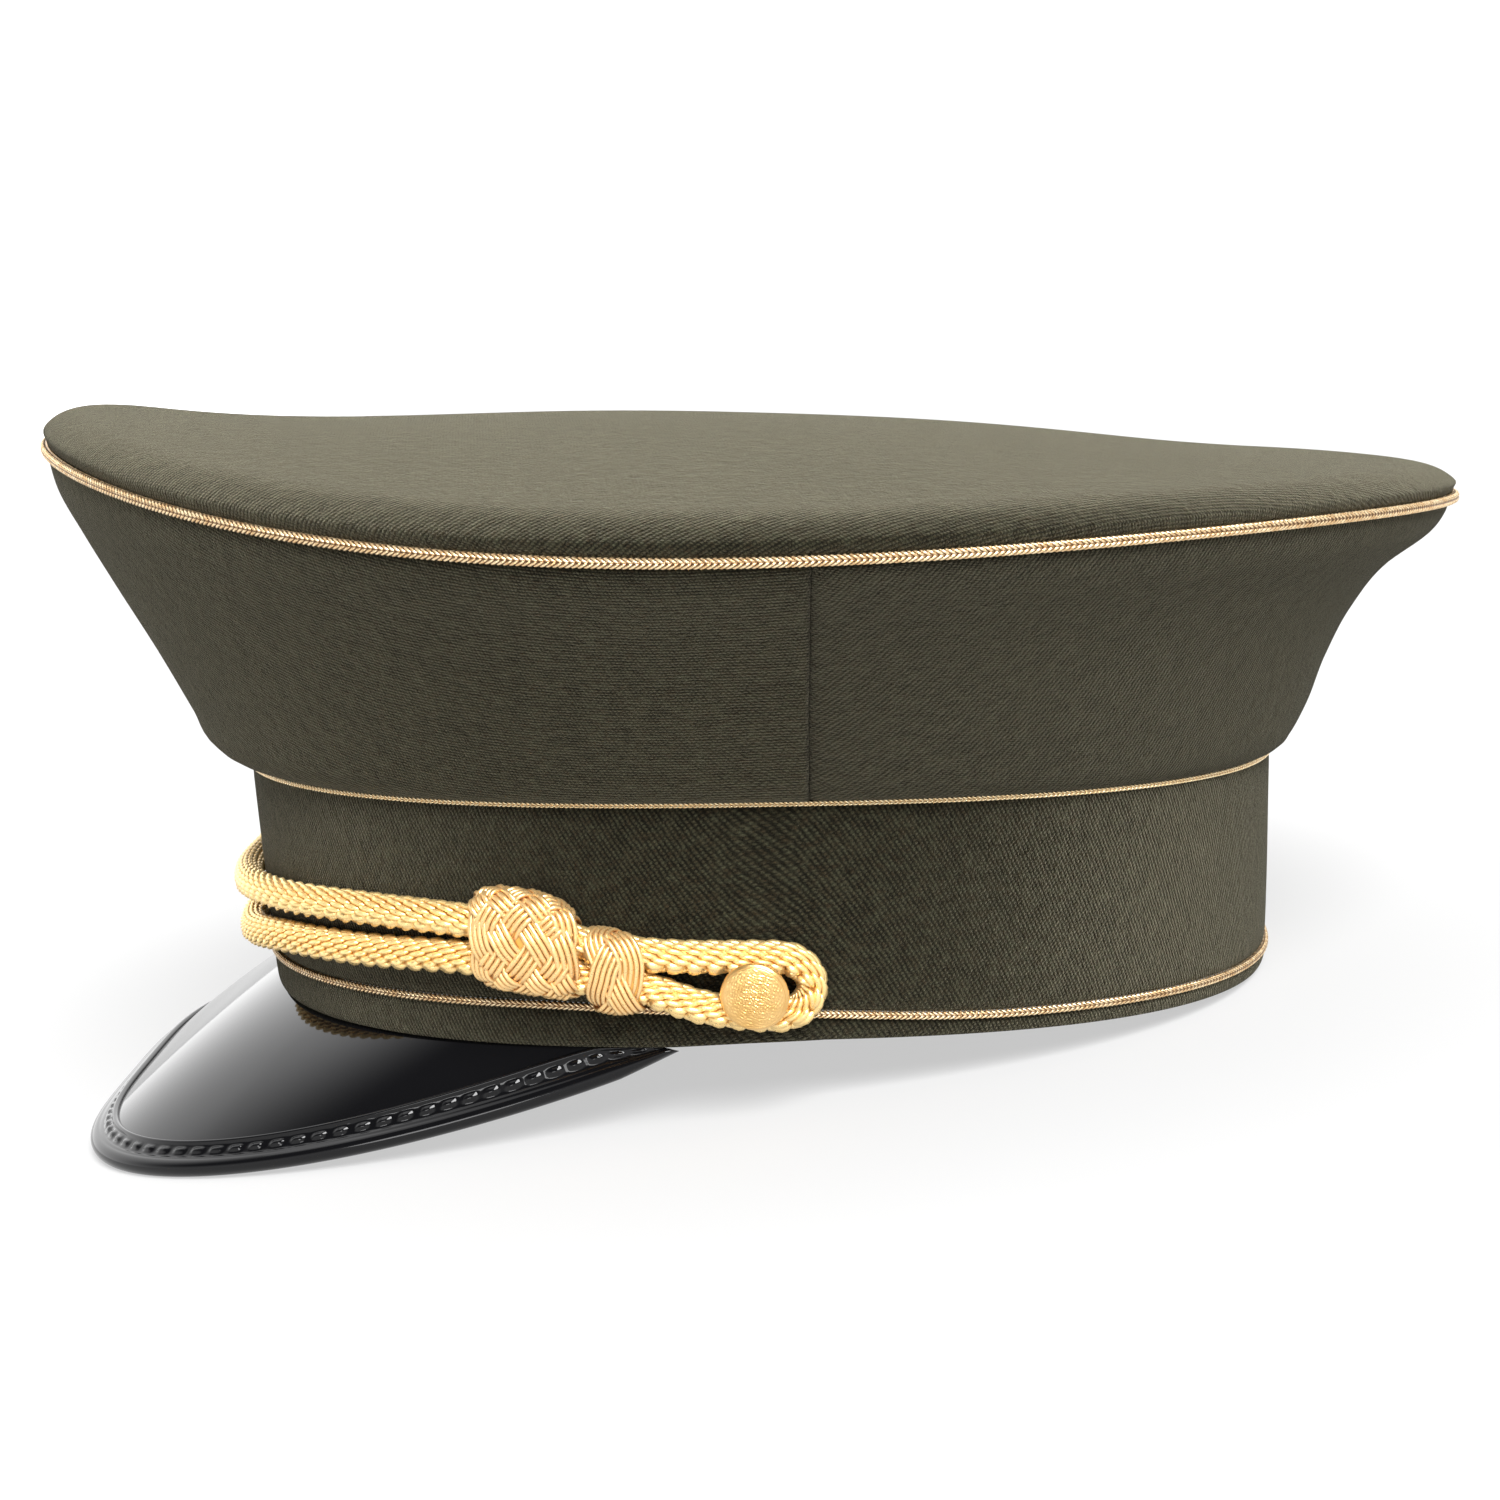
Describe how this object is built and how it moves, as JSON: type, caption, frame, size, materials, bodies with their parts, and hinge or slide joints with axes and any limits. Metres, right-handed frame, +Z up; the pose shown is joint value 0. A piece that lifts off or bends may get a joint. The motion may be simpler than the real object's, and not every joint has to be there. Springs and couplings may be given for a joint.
{
  "type": "peaked cap",
  "caption": "Peaked dress cap with a wide saddle-shaped crown, stiff head band, glossy bent peak and a doubled gilt chin cord held by slide knots and buttons.",
  "frame": {"origin": "middle of the bounding box's bottom, on the surface the cap stands on", "axes": "+X towards the back of the cap, +Y towards the wearer's right side, +Z up; the cap leans as it stands by itself on its peak and the back of its band"},
  "size_m": [0.2974, 0.2586, 0.1468],
  "materials": {
    "cloth": "dark olive woollen twill, matt",
    "gilt_cord": "plaited or twisted cord of gilt thread, softly shining",
    "gilt_metal": "gilt, finely pebbled face with a smooth bevelled rim",
    "patent_leather": "black patent leather, mirror gloss"
  },
  "bodies": {
    "root": {"band_foot": "cloth", "band": "cloth", "band_lower_piping": "gilt_cord", "band_top_piping": "gilt_cord", "crown_front_panel": "cloth", "crown_rear_panel": "cloth", "crown_top": "cloth", "crown_edge_piping": "gilt_cord", "peak": "patent_leather", "peak_binding": "patent_leather", "chin_cord": "gilt_cord", "large_knot_left": "gilt_cord", "large_knot_right": "gilt_cord", "small_knot_left": "gilt_cord", "small_knot_right": "gilt_cord", "button_left": "gilt_metal", "button_right": "gilt_metal"}
  },
  "joints": []
}
